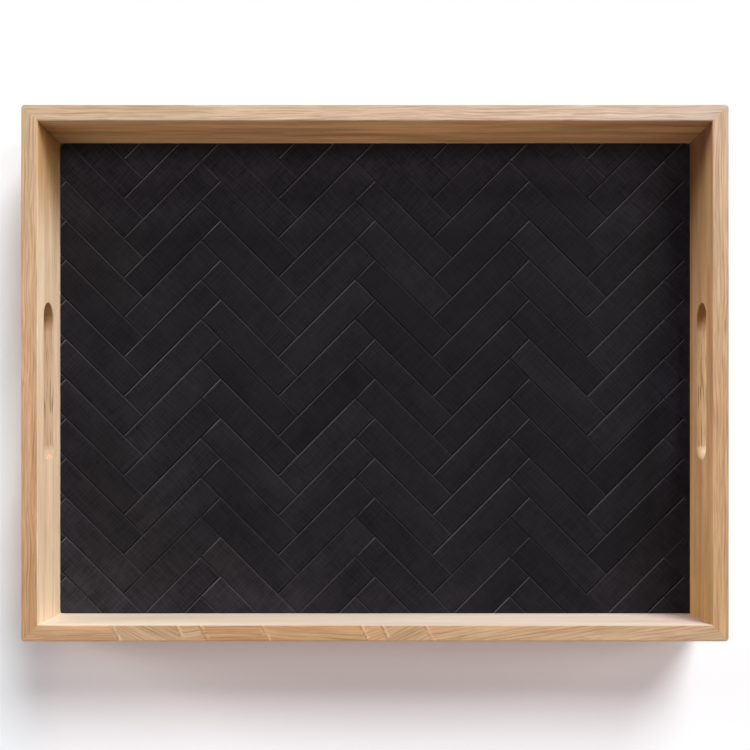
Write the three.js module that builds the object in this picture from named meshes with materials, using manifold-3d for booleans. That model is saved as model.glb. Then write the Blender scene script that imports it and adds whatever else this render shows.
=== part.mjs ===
// Serving tray: a mitred oak frame around a black herringbone floor.
// Millimetres. +X runs along the length, +Y towards the back, +Z up.
// The origin lies on the table, under the middle of the tray.
import * as THREE from "three";
import { mergeVertices } from "three/addons/utils/BufferGeometryUtils.js";
import Module from "manifold-3d";

const wasm = await Module();
wasm.setup();

// Frame of four rails
const TRAY_LENGTH = 472;
const TRAY_WIDTH = 358;
const RAIL_HEIGHT = 60;
const RAIL_THICKNESS = 11;
const RAIL_EDGE_RADIUS = 1;
const CORNER_RADIUS = 2.4;
const MITRE_GLUE_GAP = 0.3;

// Handle slots, cut through the two end rails
const SLOT_LENGTH = 108;
const SLOT_HEIGHT = 21;
const SLOT_DROP = 25; // from the rim to the middle of the slot
const SLOT_FORWARD = 4; // from the middle of the rail towards the front
const SLOT_EDGE_RADIUS = 1;

// Loose tongues, glued into a mortise across each mitre
const TONGUE_THICKNESS = 3;
const TONGUE_REACH = 3.5; // into each rail
const TONGUE_BELOW_RIM = 14;
const TONGUE_ABOVE_FLOOR = 6;
const TONGUE_SIDE_CLEARANCE = 0.3;
const TONGUE_END_CLEARANCE = 0.5;

// Base panel, held in a groove around the inside of the rails
const PANEL_THICKNESS = 4;
const PANEL_RECESS = 3; // from the bottom of the rails up to the panel
const PANEL_TONGUE = 4.5; // how far the panel reaches into the groove
const PANEL_EDGE_CLEARANCE = 0.5;
const PANEL_TOP_CLEARANCE = 0.3;

// Herringbone strips, glued onto the panel
const STRIP_LENGTH = 78;
const STRIP_WIDTH = 20;
const STRIP_THICKNESS = 3;
const STRIP_BEVEL = 0.5;
const COLUMN_JOINT = 0.3; // between one column of strips and the next
const FLOOR_EDGE_GAP = 0.4; // between the strips and the rails
const NARROWEST_SPINE = 2; // a column with less unbroken width joins its neighbour

// Felt pads under the panel
const PAD_DIAMETER = 22;
const PAD_STANDOFF = 2; // how far the pads hold the rails off the table
const PAD_INSET = 26; // from the rails to the middle of a pad
const PAD_EDGE = 0.6;

// Facets
const EDGE_SEGMENTS = 4;
const ROUND_SEGMENTS = 40;
const OVERCUT = 1; // how far a cutter runs past the face it opens

// Levels above the table
const railBottom = PAD_STANDOFF;
const rim = railBottom + RAIL_HEIGHT;
const panelBottom = railBottom + PANEL_RECESS;
const panelTop = panelBottom + PANEL_THICKNESS;
const floorTop = panelTop + STRIP_THICKNESS;

// Clear size between the rails
const insideLength = TRAY_LENGTH - 2 * RAIL_THICKNESS;
const insideWidth = TRAY_WIDTH - 2 * RAIL_THICKNESS;

const SECTION_TO_BAR = new THREE.Matrix4().makeBasis(
  new THREE.Vector3(0, 1, 0),
  new THREE.Vector3(0, 0, 1),
  new THREE.Vector3(1, 0, 0),
);

// Makes a closed geometry into a solid that can be joined and cut.
function solidOf(geometry) {
  const bare = geometry.clone();
  bare.deleteAttribute("normal");
  bare.deleteAttribute("uv");
  const merged = mergeVertices(bare);
  return new wasm.Manifold(
    new wasm.Mesh({
      numProp: 3,
      vertProperties: merged.attributes.position.array,
      triVerts: new Uint32Array(merged.index.array),
    }),
  );
}

// Gives a finished solid back as a geometry.
function geometryOf(solid) {
  const { vertProperties, triVerts } = solid.getMesh();
  const geometry = new THREE.BufferGeometry();
  geometry.setAttribute("position", new THREE.BufferAttribute(vertProperties, 3));
  geometry.setIndex(new THREE.BufferAttribute(triVerts, 1));
  geometry.computeVertexNormals();
  return geometry;
}

// Extrudes a section along X: the section's x becomes +Y and its y becomes +Z.
function barAlongX(section, length, curveSegments) {
  const bar = new THREE.ExtrudeGeometry(section, { depth: length, bevelEnabled: false, curveSegments });
  bar.translate(0, 0, -length / 2);
  return bar.applyMatrix4(SECTION_TO_BAR);
}

// Extrudes an outline seen from above into a plate between two levels.
function plate(outline, bottom, top) {
  const body = new THREE.ExtrudeGeometry(outline, {
    depth: top - bottom,
    bevelEnabled: false,
    curveSegments: EDGE_SEGMENTS,
  });
  return body.translate(0, 0, bottom);
}

// Draws a rectangle about its own middle.
function rectangle(width, height) {
  const x = width / 2;
  const y = height / 2;
  return new THREE.Shape([
    new THREE.Vector2(-x, -y),
    new THREE.Vector2(x, -y),
    new THREE.Vector2(x, y),
    new THREE.Vector2(-x, y),
  ]);
}

// Draws a slot outline with full round ends, upright and about its own middle.
function uprightSlot(width, height) {
  const radius = width / 2;
  const straight = height / 2 - radius;
  const slot = new THREE.Shape();
  slot.absarc(0, straight, radius, 0, Math.PI);
  slot.absarc(0, -straight, radius, Math.PI, 2 * Math.PI);
  slot.closePath();
  return slot;
}

// Section of a rail, from its inner face outwards: eased edges, and the groove for the panel.
function railSection() {
  const ease = RAIL_EDGE_RADIUS;
  const grooveDepth = PANEL_TONGUE + PANEL_EDGE_CLEARANCE;
  const grooveTop = panelTop + PANEL_TOP_CLEARANCE;
  const section = new THREE.Shape();
  section.absarc(ease, railBottom + ease, ease, Math.PI, 1.5 * Math.PI);
  section.absarc(RAIL_THICKNESS - ease, railBottom + ease, ease, 1.5 * Math.PI, 2 * Math.PI);
  section.absarc(RAIL_THICKNESS - ease, rim - ease, ease, 0, 0.5 * Math.PI);
  section.absarc(ease, rim - ease, ease, 0.5 * Math.PI, Math.PI);
  section.lineTo(0, grooveTop);
  section.lineTo(grooveDepth, grooveTop);
  section.lineTo(grooveDepth, panelBottom);
  section.lineTo(0, panelBottom);
  section.closePath();
  return section;
}

// Block that leaves a rail with its two mitres, each half a glue gap short of the diagonal.
function mitreBlock(length) {
  const glue = (MITRE_GLUE_GAP / 2) * Math.SQRT2;
  const inner = length / 2 - RAIL_THICKNESS - glue - OVERCUT;
  const outer = length / 2 - glue + OVERCUT;
  const outline = new THREE.Shape([
    new THREE.Vector2(-inner, -OVERCUT),
    new THREE.Vector2(inner, -OVERCUT),
    new THREE.Vector2(outer, RAIL_THICKNESS + OVERCUT),
    new THREE.Vector2(-outer, RAIL_THICKNESS + OVERCUT),
  ]);
  return plate(outline, railBottom - OVERCUT, rim + OVERCUT);
}

// Waste outside the rounding of the upright outer corner on the +X end of a rail.
function cornerWaste() {
  const radius = CORNER_RADIUS;
  const outline = new THREE.Shape();
  outline.moveTo(OVERCUT, -radius);
  outline.lineTo(OVERCUT, OVERCUT);
  outline.lineTo(-radius, OVERCUT);
  outline.absarc(-radius, -radius, radius, 0.5 * Math.PI, 0, true);
  outline.closePath();
  return plate(outline, railBottom - OVERCUT, rim + OVERCUT);
}

// Loose tongue across a mitre: its length runs along X and its round edges are at top and bottom.
function tongueBar(sideClearance, endClearance) {
  const height = rim - TONGUE_BELOW_RIM - floorTop - TONGUE_ABOVE_FLOOR;
  const section = uprightSlot(TONGUE_THICKNESS + 2 * sideClearance, height + 2 * sideClearance);
  return barAlongX(section, 2 * (TONGUE_REACH + endClearance), 2 * EDGE_SEGMENTS);
}

// Turn and place of a tongue, halfway out along the mitre whose inner corner is given.
function tonguePlace(innerX, innerY) {
  const along = RAIL_THICKNESS / 2;
  const level = (rim - TONGUE_BELOW_RIM + floorTop + TONGUE_ABOVE_FLOOR) / 2;
  const signX = Math.sign(innerX);
  const signY = Math.sign(innerY);
  return {
    turn: Math.atan2(-signX, signY),
    position: new THREE.Vector3(innerX + signX * along, innerY + signY * along, level),
  };
}

// Half height of the handle slot at each depth through the rail: straight, rounded over at both faces.
function slotHalfProfile() {
  const half = SLOT_HEIGHT / 2;
  const radius = SLOT_EDGE_RADIUS;
  const innerSide = [];
  const outerSide = [];
  for (let step = 0; step <= EDGE_SEGMENTS; step += 1) {
    const turn = (step / EDGE_SEGMENTS) * (Math.PI / 2);
    const reach = half + radius * (1 - Math.sin(turn));
    const depth = radius * (1 - Math.cos(turn));
    innerSide.push(new THREE.Vector2(reach, depth));
    outerSide.unshift(new THREE.Vector2(reach, RAIL_THICKNESS - depth));
  }
  return [
    new THREE.Vector2(half + radius, -OVERCUT),
    ...innerSide,
    ...outerSide,
    new THREE.Vector2(half + radius, RAIL_THICKNESS + OVERCUT),
  ];
}

// Cutter for a handle slot: the round-over profile turned at both ends and drawn straight between them.
function handleCutter(middle) {
  const profile = slotHalfProfile();
  const straight = SLOT_LENGTH - SLOT_HEIGHT;
  const level = rim - SLOT_DROP;
  const section = new THREE.Shape([
    ...profile.map((point) => new THREE.Vector2(point.y, -point.x)),
    ...profile.map((point) => new THREE.Vector2(point.y, point.x)).reverse(),
  ]);
  const turned = new THREE.LatheGeometry(
    [new THREE.Vector2(0, -OVERCUT), ...profile, new THREE.Vector2(0, RAIL_THICKNESS + OVERCUT)],
    ROUND_SEGMENTS,
  );
  let cutter = solidOf(barAlongX(section, straight, 1).translate(middle, 0, level));
  for (const end of [-1, 1]) {
    cutter = cutter.add(solidOf(turned.clone().translate(middle + (end * straight) / 2, 0, level)));
  }
  return cutter;
}

// One rail, lying along X on the +Y side of the tray, with its outer face the given distance from the middle.
// An end rail's handle slot has its middle at the given X.
function railGeometry(length, outerFace, slotMiddle) {
  const innerFace = outerFace - RAIL_THICKNESS;
  let rail = solidOf(barAlongX(railSection(), length, EDGE_SEGMENTS));
  rail = rail.intersect(solidOf(mitreBlock(length)));
  if (slotMiddle !== undefined) {
    rail = rail.subtract(handleCutter(slotMiddle));
  }
  for (const end of [-1, 1]) {
    const waste = cornerWaste().rotateZ(end > 0 ? 0 : Math.PI / 2);
    waste.translate((end * length) / 2, RAIL_THICKNESS, 0);
    rail = rail.subtract(solidOf(waste));
    const { turn, position } = tonguePlace(end * (length / 2 - RAIL_THICKNESS), innerFace);
    const mortise = tongueBar(TONGUE_SIDE_CLEARANCE, TONGUE_END_CLEARANCE).rotateZ(turn);
    mortise.translate(position.x, position.y - innerFace, position.z);
    rail = rail.subtract(solidOf(mortise));
  }
  return geometryOf(rail).translate(0, innerFace, 0);
}

// Herringbone layout: columns of parallel strips, rising and falling by turns, meet in saw-tooth seams.
// A tooth of the middle seam, number 0, has its tip at the middle of the tray.
const columnPitch = STRIP_LENGTH * Math.SQRT1_2;
const stripPitch = STRIP_WIDTH * Math.SQRT2;
const toothDepth = STRIP_WIDTH * Math.SQRT1_2;
const floorLength = insideLength - 2 * FLOOR_EDGE_GAP;
const floorWidth = insideWidth - 2 * FLOOR_EDGE_GAP;
const patternMargin = STRIP_LENGTH + STRIP_WIDTH; // how far seams are drawn past the floor

// X of the seam on the left of a column, where its teeth reach furthest right.
function seamX(column) {
  return column * columnPitch;
}

// Levels along Y, from below the floor to above it, where a seam's teeth reach furthest right.
function seamLevels(column) {
  const phase = -Math.abs(column % 2) * columnPitch;
  const first = Math.floor((-floorWidth / 2 - patternMargin - phase) / stripPitch);
  const last = Math.ceil((floorWidth / 2 + patternMargin - phase) / stripPitch);
  return Array.from({ length: last - first + 1 }, (_, i) => phase + (first + i) * stripPitch);
}

// Saw-tooth line of a seam from front to back, moved sideways by half a joint.
function seamLine(column, shift) {
  return seamLevels(column).flatMap((y) => [
    new THREE.Vector2(seamX(column) + shift, y),
    new THREE.Vector2(seamX(column) + shift - toothDepth, y + toothDepth),
  ]);
}

// Straight line past the floor's end, in place of a seam there.
function endLine(side) {
  const x = side * (floorLength / 2 + OVERCUT);
  const y = floorWidth / 2 + 2 * patternMargin;
  return [new THREE.Vector2(x, -y), new THREE.Vector2(x, y)];
}

// Columns whose unbroken middle lies far enough inside the floor to be a piece of its own.
function wholeColumns() {
  const reach = Math.ceil(floorLength / columnPitch) + 1;
  const columns = [];
  for (let column = -reach; column <= reach; column += 1) {
    const left = Math.max(seamX(column), -floorLength / 2);
    const right = Math.min(seamX(column + 1) - toothDepth, floorLength / 2);
    if (right - left >= NARROWEST_SPINE) {
      columns.push(column);
    }
  }
  return columns;
}

// V-grooves along the strips of one column, where the bevels of neighbouring strips meet.
function columnGrooves(column) {
  const rise = column % 2 === 0 ? -1 : 1;
  const length = STRIP_LENGTH + STRIP_WIDTH;
  const wide = STRIP_BEVEL + OVERCUT;
  const section = new THREE.Shape([
    new THREE.Vector2(0, floorTop - STRIP_BEVEL),
    new THREE.Vector2(wide, floorTop + OVERCUT),
    new THREE.Vector2(-wide, floorTop + OVERCUT),
  ]);
  const half = (length / 2) * Math.SQRT1_2;
  return seamLevels(column).map((y) => {
    const groove = barAlongX(section, length, 1).rotateZ((rise * Math.PI) / 4);
    return solidOf(groove.translate(seamX(column) - toothDepth + half, y + toothDepth + rise * half, 0));
  });
}

// Strips of one column, glued edge to edge, cut to the floor and bevelled.
function columnGeometry(column, isFirst, isLast) {
  const shift = (COLUMN_JOINT / 2) * Math.SQRT2;
  const left = isFirst ? endLine(-1) : seamLine(column, shift);
  const right = isLast ? endLine(1) : seamLine(column + 1, -shift);
  const outline = new THREE.Shape([...left, ...right.reverse()]);
  let body = solidOf(plate(outline, panelTop, floorTop));
  const floorBlock = plate(rectangle(floorLength, floorWidth), panelTop - OVERCUT, floorTop + OVERCUT);
  body = body.intersect(solidOf(floorBlock));
  for (const neighbour of [column - 1, column, column + 1]) {
    for (const groove of columnGrooves(neighbour)) {
      body = body.subtract(groove);
    }
  }
  return geometryOf(body);
}

// Felt pad with an eased lower edge, standing on the table.
function padGeometry() {
  const radius = PAD_DIAMETER / 2;
  const profile = [
    new THREE.Vector2(0, 0),
    new THREE.Vector2(radius - PAD_EDGE, 0),
    new THREE.Vector2(radius, PAD_EDGE),
    new THREE.Vector2(radius, panelBottom),
    new THREE.Vector2(0, panelBottom),
  ];
  return new THREE.LatheGeometry(profile, ROUND_SEGMENTS).rotateX(Math.PI / 2);
}

const oak = () => new THREE.MeshStandardMaterial({ color: 0xcba681, roughness: 0.55, metalness: 0 });
const beech = () => new THREE.MeshStandardMaterial({ color: 0xd2ad84, roughness: 0.7, metalness: 0 });
const plywood = () => new THREE.MeshStandardMaterial({ color: 0xd8bd94, roughness: 0.7, metalness: 0 });
const blackWood = () => new THREE.MeshStandardMaterial({ color: 0x252327, roughness: 0.6, metalness: 0 });
const felt = () => new THREE.MeshStandardMaterial({ color: 0x3b3835, roughness: 1, metalness: 0 });

function piece(name, geometry, material) {
  const mesh = new THREE.Mesh(geometry, material);
  mesh.name = name;
  return mesh;
}

function buildFrame() {
  const frame = new THREE.Group();
  const sideRail = railGeometry(TRAY_LENGTH, TRAY_WIDTH / 2);
  const leftRail = railGeometry(TRAY_WIDTH, TRAY_LENGTH / 2, -SLOT_FORWARD);
  const rightRail = railGeometry(TRAY_WIDTH, TRAY_LENGTH / 2, SLOT_FORWARD);
  const rails = [
    { name: "back_rail", geometry: sideRail, turn: 0 },
    { name: "left_end_rail", geometry: leftRail, turn: Math.PI / 2 },
    { name: "front_rail", geometry: sideRail, turn: Math.PI },
    { name: "right_end_rail", geometry: rightRail, turn: -Math.PI / 2 },
  ];
  for (const { name, geometry, turn } of rails) {
    const rail = piece(name, geometry, oak());
    rail.rotation.z = turn;
    frame.add(rail);
  }
  for (const depth of ["front", "back"]) {
    for (const side of ["left", "right"]) {
      const innerX = (side === "left" ? -1 : 1) * (insideLength / 2);
      const innerY = (depth === "front" ? -1 : 1) * (insideWidth / 2);
      const { turn, position } = tonguePlace(innerX, innerY);
      const tongue = piece(`corner_tongue_${depth}_${side}`, tongueBar(0, 0), beech());
      tongue.rotation.z = turn;
      tongue.position.copy(position);
      frame.add(tongue);
    }
  }
  return frame;
}

function buildFloor() {
  const floor = new THREE.Group();
  const panelOutline = rectangle(insideLength + 2 * PANEL_TONGUE, insideWidth + 2 * PANEL_TONGUE);
  floor.add(piece("base_panel", plate(panelOutline, panelBottom, panelTop), plywood()));
  const columns = wholeColumns();
  columns.forEach((column, i) => {
    const geometry = columnGeometry(column, i === 0, i === columns.length - 1);
    const place = column < 0 ? `left_${-column}` : `right_${column + 1}`;
    floor.add(piece(`herringbone_${place}`, geometry, blackWood()));
  });
  return floor;
}

function buildPads() {
  const pads = new THREE.Group();
  for (const depth of ["front", "back"]) {
    for (const side of ["left", "right"]) {
      const pad = piece(`felt_pad_${depth}_${side}`, padGeometry(), felt());
      pad.position.x = (side === "left" ? -1 : 1) * (insideLength / 2 - PAD_INSET);
      pad.position.y = (depth === "front" ? -1 : 1) * (insideWidth / 2 - PAD_INSET);
      pads.add(pad);
    }
  }
  return pads;
}

const tray = new THREE.Group();
tray.name = "tray";
tray.add(buildFrame(), buildFloor(), buildPads());

export default tray;
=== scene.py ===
# Serving tray: oak rails with handle slots around a floor of black herringbone strips.
# Metres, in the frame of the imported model: +X along the tray, +Y towards the back rail, +Z up.
import math

import bpy
import numpy as np
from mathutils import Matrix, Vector


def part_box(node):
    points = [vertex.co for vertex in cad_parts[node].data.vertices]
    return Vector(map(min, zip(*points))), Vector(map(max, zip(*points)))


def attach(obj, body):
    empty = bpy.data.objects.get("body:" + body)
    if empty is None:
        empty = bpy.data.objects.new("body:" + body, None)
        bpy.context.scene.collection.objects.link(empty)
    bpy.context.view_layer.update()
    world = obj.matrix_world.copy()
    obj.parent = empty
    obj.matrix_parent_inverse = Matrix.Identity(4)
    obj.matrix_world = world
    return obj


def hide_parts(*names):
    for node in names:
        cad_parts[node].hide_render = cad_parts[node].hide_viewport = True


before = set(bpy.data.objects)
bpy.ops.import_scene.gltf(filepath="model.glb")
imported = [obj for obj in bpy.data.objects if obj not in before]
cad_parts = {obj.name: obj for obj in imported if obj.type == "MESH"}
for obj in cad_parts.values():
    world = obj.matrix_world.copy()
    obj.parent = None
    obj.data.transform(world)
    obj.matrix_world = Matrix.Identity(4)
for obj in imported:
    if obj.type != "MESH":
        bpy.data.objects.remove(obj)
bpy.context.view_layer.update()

MM = 0.001

# Frame of four rails
TRAY_LENGTH = 472 * MM
TRAY_WIDTH = 358 * MM
RAIL_FOOT = 2 * MM
RIM = 62 * MM
RAIL_DEPTH = 11 * MM
EDGE_EASE = 1.0 * MM
CORNER_ROUND = 2.4 * MM
MITRE_HAIRLINE = 0.02 * MM
GROOVE_FOOT = 5 * MM
GROOVE_TOP = 9.3 * MM
GROOVE_DEPTH = 5 * MM
FACE_FOOT = 13 * MM  # lowest and highest rows of points on an upright face
FACE_TOP = 58 * MM
MITRE_RUN = 6 * MM  # how far inside the corner the columns of points start to lean
BOARD_JUMP = np.array([1.7, 0.31, 0.0])  # from one rail's stretch of grain to the next

# Handle slots
SLOT_FORWARD = 4 * MM  # how far a slot's middle lies in front of the rail's
SLOT_STRAIGHT = 43.5 * MM  # half of the straight part
SLOT_RADIUS = 10.5 * MM
SLOT_LEVEL = 37 * MM
SLOT_ROUNDOVER = 1.0 * MM
SLOT_PATCH = 17 * MM  # half height of the flat patch that the slot is cut into
PORE_FADE = 2 * MM  # over which the pores fade into a slot's round end

# Herringbone strips
STRIP_LENGTH = 78 * MM
STRIP_WIDTH = 20 * MM
STRIP_FOOT = 9 * MM
STRIP_TOP = 12 * MM
BEVEL_WIDTH = 1.1 * MM
BEVEL_FALL = 0.5 * MM
BEVEL_RINGS = ((0.4, 0.35), (1.0, 0.0))  # how far in, and how far below the top, as shares of the bevel
HALF_JOINT = 0.005 * MM
FLOOR_LENGTH = 449.2 * MM
FLOOR_WIDTH = 335.2 * MM
LEAST_AREA = 3 * MM**2  # cut corners smaller than this are left out
LEAST_SIDE = 0.2 * MM
PAINTED_HIGHLIGHT_SIDE = np.array([-0.65, 1.05])  # edges that look this way carry a painted highlight
STRIP_JUMP = (0.37, 0.11)  # from one strip's stretch of grain to the next, along it and up
HIGHLIGHT_STRENGTH = (0.55, 1.15)  # least and most strength of a strip's painted edge highlight
FRONT_SHADE = (0.0, 0.28)  # least and most painted shade at a strip's front
LUCK = (-0.18, 0.18)  # least and most that a strip's tone is off

# Felt pads
PAD_RADIUS = 11 * MM
PAD_TOP = 5 * MM
PAD_EDGE = 0.9 * MM
PAD_BELLY = 0.15 * MM

# Joints in the front rail
JOINT_SLANT = 0.5
JOINT_WAVE = 3 * MM

# Ground and camera
GROUND_HALF = 4.0
CAMERA_FORWARD = 53.6 * MM
CAMERA_HEIGHT = 756 * MM
PICTURE_SHIFT = 0.1045

TINY = 1e-9


# Meshes from arrays


def outward(points, quads):
    """Turns all faces round if the signed volume is negative: a third of the sum over the faces of their
    middle dot their area vector."""
    a, b, c, d = (points[quads[:, i]] for i in range(4))
    vector = np.cross(c - a, d - b) / 2
    volume = np.einsum("ij,ij->", (a + b + c + d) / 4, vector) / 3
    return quads if volume > 0 else quads[:, ::-1]


def closed_rows(number):
    """Faces between neighbouring rows of numbered points, each row closed round."""
    after = np.roll(number, -1, axis=1)
    return np.stack([number[:-1], number[1:], after[1:], after[:-1]], axis=2).reshape(-1, 4)


def used_only(points, faces_arrays, fields):
    """Drops points that no face uses, and numbers the faces' corners again."""
    used = np.unique(np.concatenate([f.ravel() for f in faces_arrays]))
    renumber = np.zeros(len(points), int)
    renumber[used] = np.arange(len(used))
    return points[used], [renumber[f] for f in faces_arrays], {k: v[used] for k, v in fields.items()}


def finished_piece(name, points, faces, finish, nodes, fields=(), corner_fields=(), crease=35):
    """Puts arrays into a mesh in the tray's own place, adds their values per point and per corner, and
    shades it smooth except across edges sharper than the crease angle."""
    mesh = bpy.data.meshes.new(name)
    mesh.from_pydata(points.tolist(), [], faces)
    for key, values in dict(fields).items():
        if values.ndim == 2:
            mesh.attributes.new(key, "FLOAT_VECTOR", "POINT").data.foreach_set("vector", values.ravel())
        else:
            mesh.attributes.new(key, "FLOAT", "POINT").data.foreach_set("value", values)
    for key, values in dict(corner_fields).items():
        mesh.attributes.new(key, "FLOAT", "CORNER").data.foreach_set("value", values)
    mesh.materials.append(finish)
    mesh.shade_smooth()
    mesh.set_sharp_from_angle(angle=math.radians(crease))
    mesh.validate()
    piece = bpy.data.objects.new(name, mesh)
    bpy.context.scene.collection.objects.link(piece)
    weighted = piece.modifiers.new("flat faces stay flat", "WEIGHTED_NORMAL")
    weighted.keep_sharp = True
    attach(piece, "root")
    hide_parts(*nodes)
    return piece


# Rails


def quarter(centre, radius, start, stop, steps=6):
    """Points of a quarter circle: the centre plus the radius times cosine and sine of evenly spaced turns."""
    turn = np.radians(np.linspace(start, stop, steps + 1))
    return np.stack([centre[0] + radius * np.cos(turn), centre[1] + radius * np.sin(turn)], axis=1)


def slot_spread():
    """Offsets along the patch's edge that the rays of a round slot end cross at even angles: half height
    times the tangent of 0 to 45 degrees."""
    return SLOT_PATCH * np.tan(np.radians(np.linspace(0, 45, 9)))


def face_levels():
    """Levels of the rows on a rail's upright faces: close together beside the handle slot."""
    spread = slot_spread()
    beside = SLOT_LEVEL + np.concatenate([-spread[:0:-1], spread])
    return np.concatenate([[FACE_FOOT], beside, [FACE_TOP]])


def rail_section():
    """Closed outline across a rail as (depth from the inner face, level): up the inner face, over the rim,
    down the outer face, under the rail and round the panel groove, with a quarter circle at each long edge.
    Also gives the rows of the inner and the outer face that belong to face_levels, from low to high."""
    levels = face_levels()
    low, high = EDGE_EASE, RAIL_DEPTH - EDGE_EASE
    over, under = RIM - EDGE_EASE, RAIL_FOOT + EDGE_EASE
    across = np.linspace(low, high, 6)[1:-1]
    inner = np.stack([np.zeros_like(levels), levels], axis=1)
    outer = np.stack([np.full_like(levels, RAIL_DEPTH), levels[::-1]], axis=1)
    rim_edge = quarter((low, over), EDGE_EASE, 180, 90)
    rim_flat = np.stack([across, np.full_like(across, RIM)], axis=1)
    outer_edge = quarter((high, over), EDGE_EASE, 90, 0)
    foot_edge = quarter((high, under), EDGE_EASE, 0, -90)
    foot_flat = np.stack([across[::-1], np.full_like(across, RAIL_FOOT)], axis=1)
    lip = quarter((low, under), EDGE_EASE, -90, -180)
    groove = np.array([[0, GROOVE_FOOT], [GROOVE_DEPTH, GROOVE_FOOT], [GROOVE_DEPTH, GROOVE_TOP]])
    start = np.array([[0, GROOVE_TOP]])
    parts = [start, inner, rim_edge, rim_flat, outer_edge, outer, foot_edge, foot_flat, lip, groove]
    inner_rows = len(start) + np.arange(len(levels))
    before_outer = sum(len(p) for p in parts[:5])
    outer_rows = before_outer + np.arange(len(levels))[::-1]
    return np.concatenate(parts), inner_rows, outer_rows


def rail_stations(half, middle):
    """Distances along a rail of its upright columns of points: on the patch round the slot where the rays of
    its round ends cross the patch's edge, and even on the plain lengths before and after it."""
    end = half - RAIL_DEPTH - MITRE_RUN
    patch = SLOT_STRAIGHT + slot_spread()
    straight = np.linspace(-SLOT_STRAIGHT, SLOT_STRAIGHT, 11)[1:-1]
    beside = middle + np.concatenate([-patch[::-1], straight, patch])
    before = np.linspace(-end, beside[0], 12)[:-1]
    after = np.linspace(beside[-1], end, 12)[1:]
    return np.concatenate([before, beside, after]), end


def rail_grid(half, middle):
    """A rail along one axis as a grid of columns by section rows. Near its ends a column leans over by
    degrees to the mitre, which lies at half the length less the depth that is left outside the point. Round
    the upright outer corner, the square of the corner is squeezed onto a quarter circle: an offset keeps its
    direction and its length becomes its larger part."""
    section, inner_rows, outer_rows = rail_section()
    stations, end = rail_stations(half, middle)
    depth, level = section.T
    lean = 1 - (1 - np.linspace(0, 1, 10)[1:]) ** 2
    mitre = half - RAIL_DEPTH + depth - MITRE_HAIRLINE
    leaning = end + lean[:, None] * (mitre[None, :] - end)
    along = np.concatenate([-leaning[::-1], np.repeat(stations[:, None], len(depth), axis=1), leaning])
    depth = np.broadcast_to(depth, along.shape).copy()
    level = np.broadcast_to(level, along.shape).copy()
    past = np.abs(along) - (half - CORNER_ROUND)
    out = depth - (RAIL_DEPTH - CORNER_ROUND)
    corner = (past > 0) & (out > 0)
    squeeze = np.where(corner, np.maximum(past, out) / np.hypot(past, out), 1)
    along = np.where(corner, np.sign(along) * (half - CORNER_ROUND + past * squeeze), along)
    depth = np.where(corner, RAIL_DEPTH - CORNER_ROUND + out * squeeze, depth)
    return np.stack([along, depth, level], axis=2), inner_rows, outer_rows


def slot_ring(local, middle, inner_rows, outer_rows):
    """Handle slot through a rail: rings of points round a long slot with round ends. A ring keeps the
    direction from the slot's middle line to the edge of the flat patch, and its distance and depth follow a
    quarter circle at the inner face, the straight wall, and a quarter circle at the outer face.
    Gives the new points, the faces, and which faces of the sweep they take the place of."""
    columns, rows = local.shape[:2]
    stations = local[:, inner_rows[1], 0] - middle
    inside = np.flatnonzero(np.abs(stations) <= SLOT_STRAIGHT + SLOT_PATCH + TINY)
    left, right = inside[0], inside[-1]
    steps = np.arange(1, len(inner_rows) - 1)
    over, under = steps[-1], steps[0]
    edge_columns = np.concatenate([
        np.arange(left, right), np.full(len(steps) - 1, right), np.arange(right, left, -1),
        np.full(len(steps) - 1, left)])
    edge_steps = np.concatenate([
        np.full(right - left, over), steps[:0:-1], np.full(right - left, under), steps[:-1]])
    patch = local[edge_columns, inner_rows[edge_steps]]
    spine = middle + np.clip(patch[:, 0] - middle, -SLOT_STRAIGHT, SLOT_STRAIGHT)
    ray = np.stack([patch[:, 0] - spine, patch[:, 2] - SLOT_LEVEL], axis=1)
    ray /= np.linalg.norm(ray, axis=1, keepdims=True)
    turn = np.radians(np.linspace(0, 90, 8))
    reach = SLOT_RADIUS + SLOT_ROUNDOVER * (1 - np.sin(turn))
    inset = SLOT_ROUNDOVER * (1 - np.cos(turn))
    wall = np.linspace(SLOT_ROUNDOVER, RAIL_DEPTH - SLOT_ROUNDOVER, 5)[1:-1]
    reach = np.concatenate([reach, np.full(len(wall), SLOT_RADIUS), reach[::-1]])
    inset = np.concatenate([inset, wall, RAIL_DEPTH - inset[::-1]])
    along = spine[None, :] + reach[:, None] * ray[None, :, 0]
    level = SLOT_LEVEL + reach[:, None] * ray[None, :, 1]
    points = np.stack([along, np.repeat(inset[:, None], len(spine), axis=1), level], axis=2)
    count = columns * rows
    number = np.concatenate([
        (edge_columns * rows + inner_rows[edge_steps])[None, :],
        count + np.arange(points.shape[0] * points.shape[1]).reshape(points.shape[:2]),
        (edge_columns * rows + outer_rows[edge_steps])[None, :]])
    cut = np.zeros((columns - 1, rows), bool)
    cut[left:right, inner_rows[under]:inner_rows[over]] = True
    cut[left:right, outer_rows[over]:outer_rows[under]] = True
    return points.reshape(-1, 3), closed_rows(number), cut.ravel()


def slot_facing(points, quads):
    """Turns the slot's faces so that those on the inner face look away from the wood, towards less depth."""
    a, b, c, d = (points[quads[:, i]] for i in range(4))
    vector = np.cross(c - a, d - b)
    flat = np.abs(points[quads, 1]).max(axis=1) < TINY
    return quads if vector[flat, 1].mean() < 0 else quads[:, ::-1]


def cap_facing(points, caps, axis):
    """Mitre faces as one polygon each, turned by their area vector to look out along the rail."""
    corner = points[caps]
    area = np.cross(corner, np.roll(corner, -1, axis=1)).sum(axis=1) @ axis
    return [(cap if a * s > 0 else cap[::-1]).tolist() for cap, a, s in zip(caps, area, (-1, 1))]


def colour_run(along, half, stops):
    """Colours along a rail, straight between stops. A stop's place is its share of the rail's length."""
    share = along / (2 * half) + 0.5
    channels = zip(*stops.values())
    return np.stack([np.interp(share, list(stops), channel) for channel in channels], axis=1)


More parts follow.
